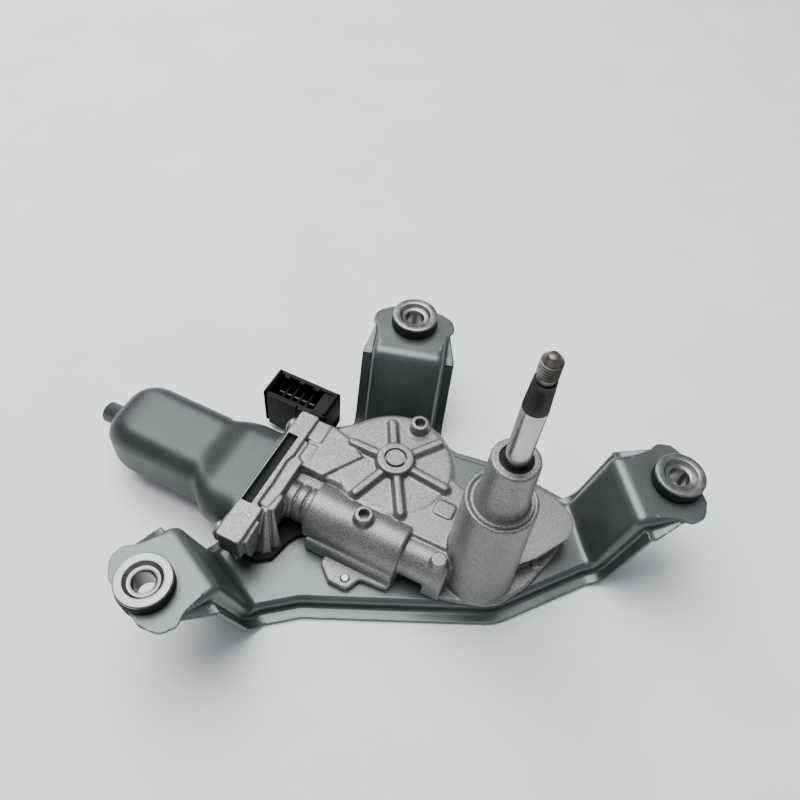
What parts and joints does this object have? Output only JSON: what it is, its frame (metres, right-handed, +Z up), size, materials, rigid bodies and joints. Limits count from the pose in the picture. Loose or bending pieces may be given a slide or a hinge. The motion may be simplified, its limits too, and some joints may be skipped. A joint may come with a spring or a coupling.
{
  "type": "rear wiper motor assembly",
  "caption": "Electric wiper drive: drawn motor can, cast worm gear case with a tall shaft tower, and a stamped three-arm bracket with rubber-mounted sleeves.",
  "frame": {"origin": "on the floor, below the middle of the bounding box", "axes": "+X along the motor, from the can towards the output shaft; +Z up, along the output shaft to its thread"},
  "size_m": [0.2916, 0.2176, 0.1695],
  "materials": {
    "bracket": "satin stamped sheet",
    "rubber": "moulded black rubber",
    "sleeve": "bright zinc plate",
    "casting": "as-cast, finely grained",
    "can": "satin deep-drawn sheet",
    "black_plastic": "moulded black plastic",
    "shaft_steel": "ground steel",
    "hard_steel": "plated steel",
    "ferrite": "sintered ferrite",
    "bronze": "sintered bronze",
    "copper": "enamelled copper",
    "laminations": "stacked electrical sheet",
    "carbon": "pressed carbon",
    "nylon": "moulded natural nylon",
    "tin": "tinned brass"
  },
  "bodies": {
    "housing": {"mounting_bracket": "bracket", "left_grommet": "rubber", "right_grommet": "rubber", "back_grommet": "rubber", "left_sleeve": "sleeve", "right_sleeve": "sleeve", "back_sleeve": "sleeve", "gear_housing": "casting", "gear_cover": "bracket", "cover_rivets": "casting", "bracket_bolts": "hard_steel", "wheel_pin": "hard_steel", "flange_seal": "rubber", "motor_can": "can", "field_magnets": "ferrite", "rear_bush": "bronze", "thrust_ball": "hard_steel", "front_bearing": "bronze", "worm_end_bush": "bronze", "brush_holder": "black_plastic", "carbon_brushes": "carbon", "brush_springs": "hard_steel", "can_screws": "sleeve", "connector_housing": "black_plastic", "connector_terminals": "tin", "lower_shaft_bush": "bronze", "upper_shaft_bush": "bronze", "shaft_seal": "rubber"},
    "armature": {"armature_shaft": "shaft_steel", "worm": "hard_steel", "armature_core": "laminations", "armature_windings": "copper", "commutator": "copper"},
    "wheel": {"worm_wheel": "nylon"},
    "output": {"output_shaft": "shaft_steel", "output_lever": "hard_steel", "lever_pin": "hard_steel", "retaining_ring": "hard_steel"},
    "rod": {"link_rod": "hard_steel", "crank_pin": "hard_steel"}
  },
  "joints": [
    {"name": "armature_spin", "type": "hinge", "parent": "housing", "child": "armature", "pos_m": [-0.02183, -0.01549, 0.022], "axis": [1, 0, 0], "continuous": true},
    {"name": "wheel_spin", "type": "hinge", "parent": "housing", "child": "wheel", "pos_m": [0.00167, 0.01951, 0.022], "axis": [0, 0, 1], "continuous": true},
    {"name": "wiper_sweep", "type": "hinge", "parent": "housing", "child": "output", "pos_m": [0.05817, -0.00299, 0.059], "axis": [0, 0, 1], "range_deg": [0, 110]},
    {"name": "rod_swing", "type": "hinge", "parent": "output", "child": "rod", "pos_m": [0.06888, -0.00046, 0.01315], "axis": [0, 0, 1], "range_deg": [-108.22, 0]}
  ],
  "couplings": [
    {"joint": "wheel_spin", "follows": "armature_spin", "ratio": 0.018519},
    {"joint": "rod_swing", "follows": "wiper_sweep", "ratio": -0.98381}
  ]
}
